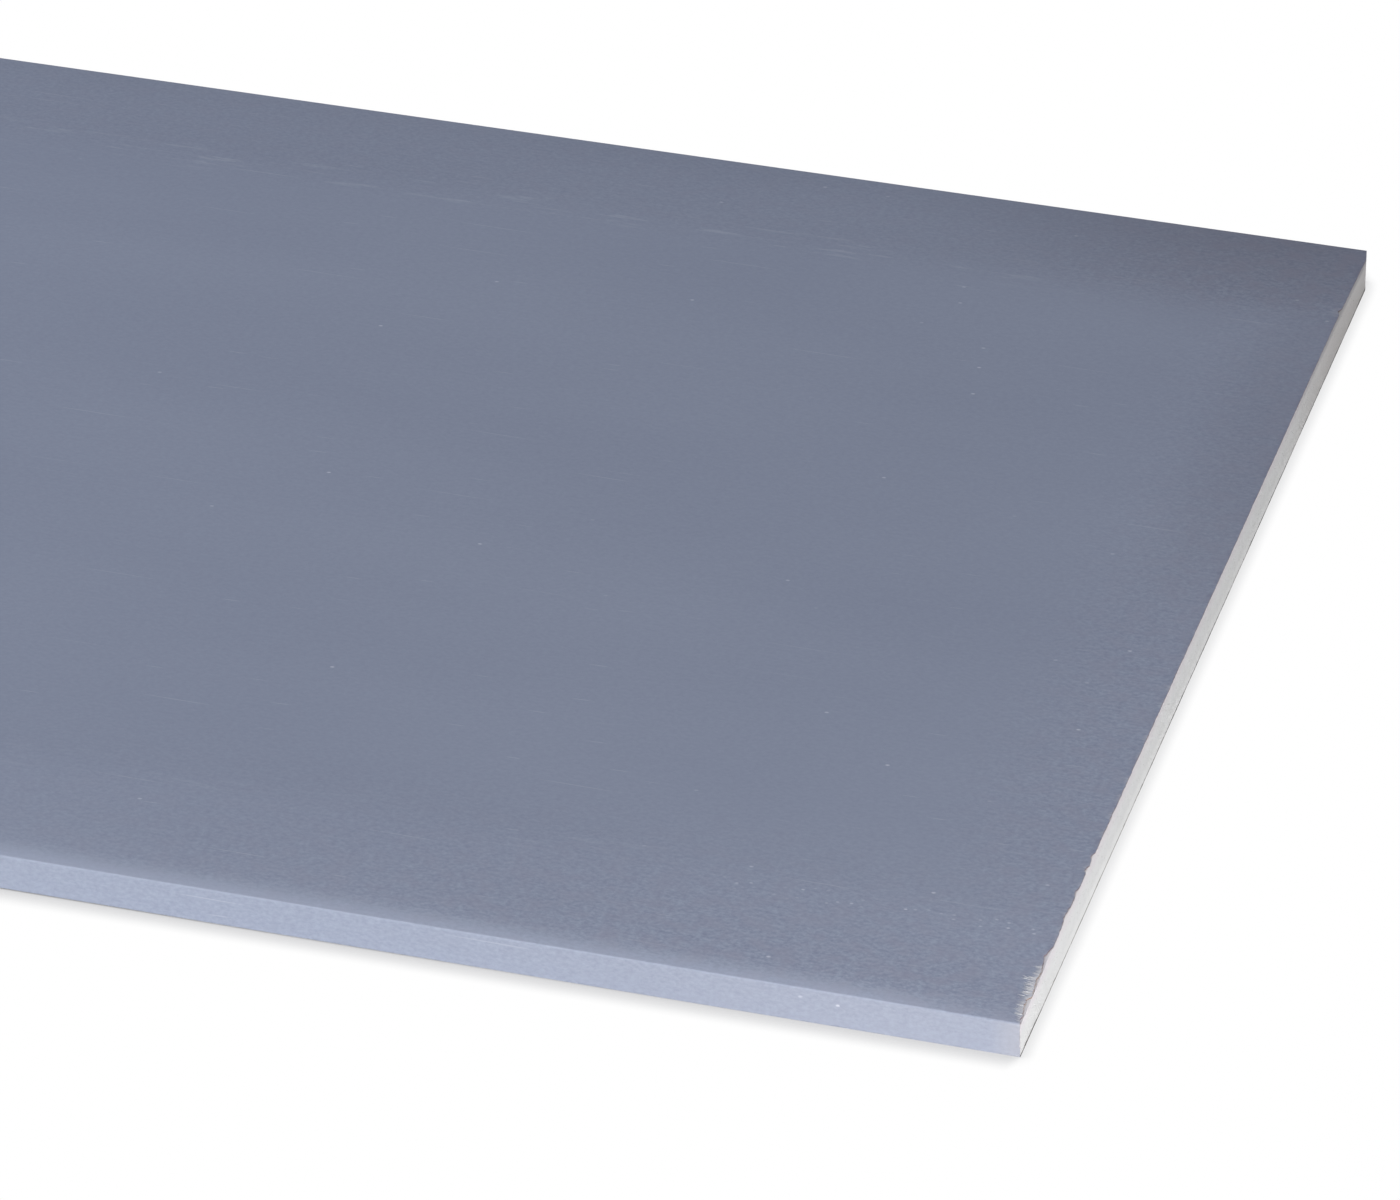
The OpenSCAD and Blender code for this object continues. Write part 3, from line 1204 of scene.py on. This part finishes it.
def fraying_tree():
    """Scatters fibres over the peeled patches of the paper."""
    tree, start, end = new_tree(
        "Fray paper", ("Paper", "NodeSocketObject"), ("Fibre", "NodeSocketObject"),
        ("Half length", "NodeSocketFloat"), ("Density", "NodeSocketFloat"), ("Finish", "NodeSocketMaterial"))
    paper = add(tree, "GeometryNodeObjectInfo", {"Object": start["Paper"]}).outputs["Geometry"]
    along = parts_of(tree, add(tree, "GeometryNodeInputPosition").outputs[0])[0]
    from_cut = maths(tree, "SUBTRACT", start["Half length"], maths(tree, "ABSOLUTE", along))
    inside = maths(tree, "LESS_THAN", from_cut, times(tree, read_number(tree, "peel"), shaggy_share))
    patch = maths(tree, "GREATER_THAN", read_number(tree, "peel_strength"), shaggy_from)
    up = parts_of(tree, add(tree, "GeometryNodeInputNormal").outputs[0])[2]
    upward = maths(tree, "GREATER_THAN", up, 0.8)
    chosen = times(tree, inside, patch, upward)
    density = times(tree, chosen, start["Density"])
    turn = times(tree, maths(tree, "LESS_THAN", along, 0.0), math.pi)
    yaw = maths(tree, "ADD", turn, random_number(tree, -0.3, 0.3, 1))
    roll = random_number(tree, -0.5, 0.5, 2)
    lift = random_number(tree, -0.04, 0.1, 3)
    turned = add(tree, "ShaderNodeCombineXYZ", {0: roll, 1: lift, 2: yaw}).outputs[0]
    shape = add(tree, "GeometryNodeObjectInfo", {"Object": start["Fibre"], "As Instance": True})
    size = random_number(tree, 0.4, 1.2, 5)
    copies = scatter(tree, paper, density, 4, shape.outputs["Geometry"], turned, size)
    finish_tree(tree, copies, start["Finish"], end)
    return tree


fray = new_object("paper_fray", [], [])
run_tree(fray, fraying_tree(), paper=face_paper, fibre=fibre, half_length=half_length, density=2.4e6,
         finish=fibre_finish)
make_plain(fray)
bpy.data.objects.remove(fibre)

# %% [markdown]
# ## Crumbs
# Sawn gypsum holds small grains that are about to fall off. A bump in the finish could hint at them, but
# wouldn't show at the edge of the sheet. They are tiny and many, so a tree scatters small uneven balls over
# the cut faces only, which it knows by the way that those faces point.

# %% Tree that scatters crumbs
def random_vector(tree, low, high, seed):
    """Three random numbers for each copy."""
    inputs = {"Min": low, "Max": high, "Seed": seed}
    return add(tree, "FunctionNodeRandomValue", inputs, data_type="FLOAT_VECTOR").outputs[0]


def crumb_tree():
    """Scatters grains over the cut faces of the core."""
    tree, start, end = new_tree(
        "Crumbs", ("Core", "NodeSocketObject"), ("Size", "NodeSocketFloat"), ("Density", "NodeSocketFloat"),
        ("Finish", "NodeSocketMaterial"))
    core = add(tree, "GeometryNodeObjectInfo", {"Object": start["Core"]}).outputs["Geometry"]
    faces = parts_of(tree, add(tree, "GeometryNodeInputNormal").outputs[0])[0]
    cut = maths(tree, "GREATER_THAN", maths(tree, "ABSOLUTE", faces), 0.7)
    density = times(tree, cut, start["Density"])
    grain = add(tree, "GeometryNodeMeshIcoSphere", {"Radius": start["Size"], "Subdivisions": 1}).outputs[0]
    turned = random_vector(tree, (0, 0, 0), (3, 3, 3), 6)
    size = random_vector(tree, (0.4, 0.4, 0.4), (1.3, 1.3, 1.0), 7)
    copies = scatter(tree, core, density, 9, grain, turned, size)
    finish_tree(tree, copies, start["Finish"], end)
    return tree


crumbs = new_object("gypsum_crumbs", [], [])
run_tree(crumbs, crumb_tree(), core=gypsum_core, size=0.16 * MM, density=7e4, finish=gypsum_finish)
make_plain(crumbs)

# %% [markdown]
# ## Bodies and hidden solids
# Every piece rides on the sheet's one body. The two papers and the core stand for their solids, which then
# don't show. The fibres and the crumbs are additions.

# %% Bodies and hidden solids
for piece, node, slot in (
    (face_paper, "face_paper", "face_paper"),
    (back_paper, "back_paper", "back_paper"),
    (gypsum_core, "gypsum_core", "gypsum"),
    (fray, None, "face_paper"),
    (crumbs, None, "gypsum"),
):
    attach(piece, "root")
    if node:
        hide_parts(node)

bpy.context.scene.view_settings.view_transform = "Standard"
